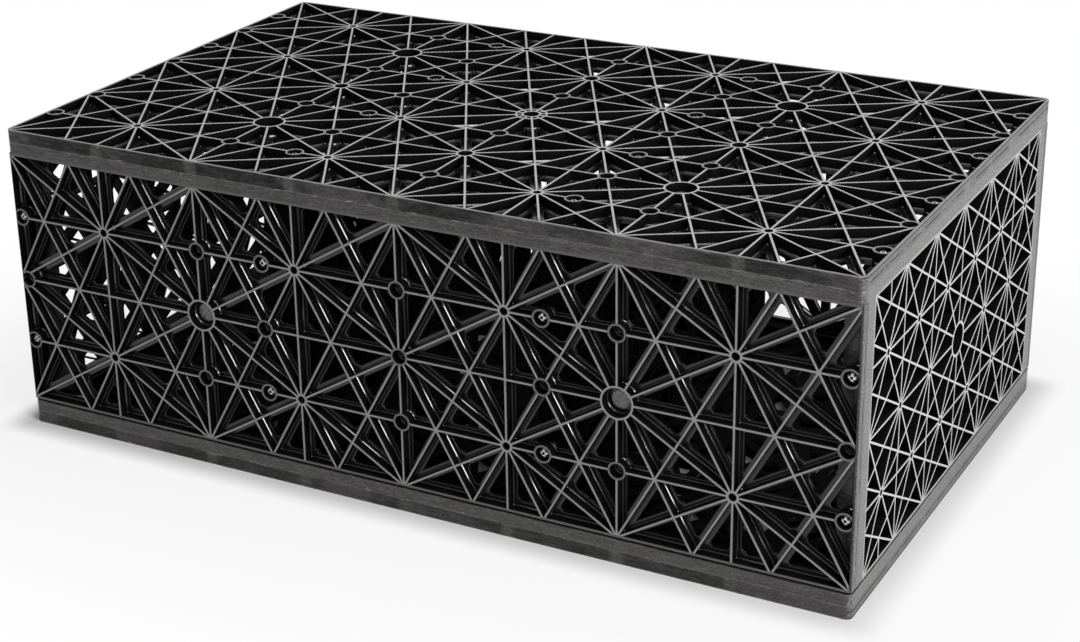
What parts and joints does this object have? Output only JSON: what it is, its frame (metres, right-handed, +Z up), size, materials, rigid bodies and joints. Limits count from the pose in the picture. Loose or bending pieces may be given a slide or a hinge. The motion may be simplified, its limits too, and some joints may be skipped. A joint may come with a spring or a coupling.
{
  "type": "soakaway crate",
  "caption": "Black plastic soakaway crate: a flat box put together from pegged lattice plates, with open triangular ribs, round hubs and sockets, and solid rims above and below.",
  "frame": {"origin": "middle of the crate's base, on the plane it stands on", "axes": "+X along the length to the right end plate, +Y across the width to the rear plate, +Z up"},
  "size_m": [0.685, 0.408, 0.244],
  "materials": {
    "panel_plastic": "moulded black polypropylene with a satin sheen, scuffed rims and pale edges",
    "side_plastic": "moulded black polypropylene with a satin sheen",
    "cross_plastic": "moulded black polypropylene with a satin sheen",
    "inner_plastic": "moulded black polypropylene with a satin sheen"
  },
  "bodies": {
    "root": {"bottom_plate": "panel_plastic", "top_plate": "panel_plastic", "front_side_plate": "side_plastic", "rear_side_plate": "side_plastic", "left_end_plate": "cross_plastic", "left_inner_plate": "inner_plastic", "right_inner_plate": "inner_plastic", "right_end_plate": "cross_plastic"}
  },
  "joints": []
}
